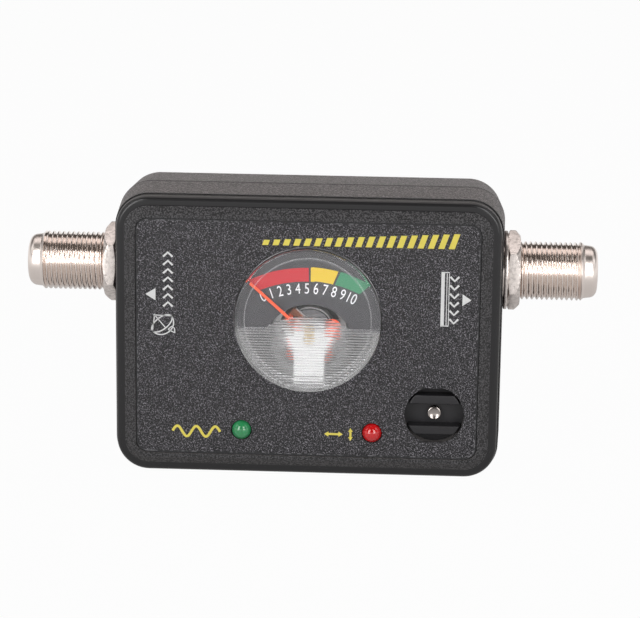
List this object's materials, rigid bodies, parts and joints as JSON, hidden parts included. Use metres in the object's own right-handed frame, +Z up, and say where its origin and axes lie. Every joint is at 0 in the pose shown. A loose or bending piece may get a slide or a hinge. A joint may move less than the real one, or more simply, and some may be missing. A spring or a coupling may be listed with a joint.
{
  "type": "satellite signal meter",
  "caption": "Pocket satellite dish alignment meter with a moving-pointer dial, signal lamps, a recessed sensitivity control and a threaded coaxial jack at each end.",
  "frame": {"origin": "middle of the footprint, on the surface that the meter stands on", "axes": "+X from the left jack to the right jack seen from the front, +Y from the dial into the case, +Z up"},
  "size_m": [0.0911, 0.022, 0.0455],
  "materials": {
    "case_plastic": "fine matt texture",
    "label_film": "leather grain, satin",
    "clear_plastic": "clear, ribbed over its lower half",
    "dial_print": "matt print",
    "smoke_plastic": "moulded, semi-gloss",
    "white_plastic": "moulded",
    "black_plastic": "moulded",
    "knob_plastic": "moulded, semi-gloss",
    "jack_plastic": "moulded",
    "nickel": "bright nickel plate",
    "screw_steel": "plain",
    "spindle_metal": "plain",
    "yoke_steel": "plain",
    "magnet": "ground",
    "brass_parts": "turned",
    "contact_metal": "phosphor bronze",
    "copper_wire": "enamelled copper wire",
    "coil_aluminium": "plain",
    "pointer_paint": "orange-red paint",
    "tinned_wire": "tinned",
    "board": "solder mask",
    "capacitor_sleeve": "shrink sleeve",
    "ferrite": "ferrite with copper winding",
    "ceramic": "fired ceramic",
    "green_lamp": "tinted epoxy",
    "red_lamp": "tinted epoxy"
  },
  "bodies": {
    "housing": {"front_shell": "case_plastic", "back_shell": "case_plastic", "case_screws": "screw_steel", "face_label": "label_film", "meter_lens": "clear_plastic", "dial_plate": "dial_print", "meter_can": "smoke_plastic", "movement_frame": "white_plastic", "bearing_screws": "brass_parts", "yoke_ring": "yoke_steel", "core_magnet": "magnet", "magnet_holder": "white_plastic", "meter_terminals": "tinned_wire", "left_jack": "nickel", "right_jack": "nickel", "left_insulator": "jack_plastic", "right_insulator": "jack_plastic", "left_contact": "contact_metal", "right_contact": "contact_metal", "left_nut": "nickel", "right_nut": "nickel", "right_washer": "nickel", "circuit_board": "board", "board_screws": "screw_steel", "green_lamp": "green_lamp", "red_lamp": "red_lamp", "lamp_leads": "tinned_wire", "control_body": "black_plastic", "control_pins": "tinned_wire", "amplifier_chip": "black_plastic", "electrolytic_capacitors": "capacitor_sleeve", "chokes": "ferrite", "chip_resistors": "black_plastic", "ceramic_capacitors": "ceramic", "transistors": "black_plastic"},
    "pointer": {"pointer": "pointer_paint", "coil_former": "coil_aluminium", "coil_winding": "copper_wire", "coil_staff": "screw_steel", "front_hairspring": "contact_metal", "back_hairspring": "contact_metal"},
    "knob": {"sensitivity_knob": "knob_plastic", "knob_spindle": "spindle_metal"}
  },
  "joints": [
    {"name": "pointer_swing", "type": "hinge", "parent": "housing", "child": "pointer", "pos_m": [0.0003, -0.00415, 0.0231], "axis": [0, 1, 0], "range_deg": [0, 90], "stiffness_Nm_per_rad": 0.00001, "springref_deg": -20.05},
    {"name": "knob_turn", "type": "hinge", "parent": "housing", "child": "knob", "pos_m": [0.02035, -0.00415, 0.0107], "axis": [0, 1, 0], "range_deg": [-135, 135]}
  ]
}
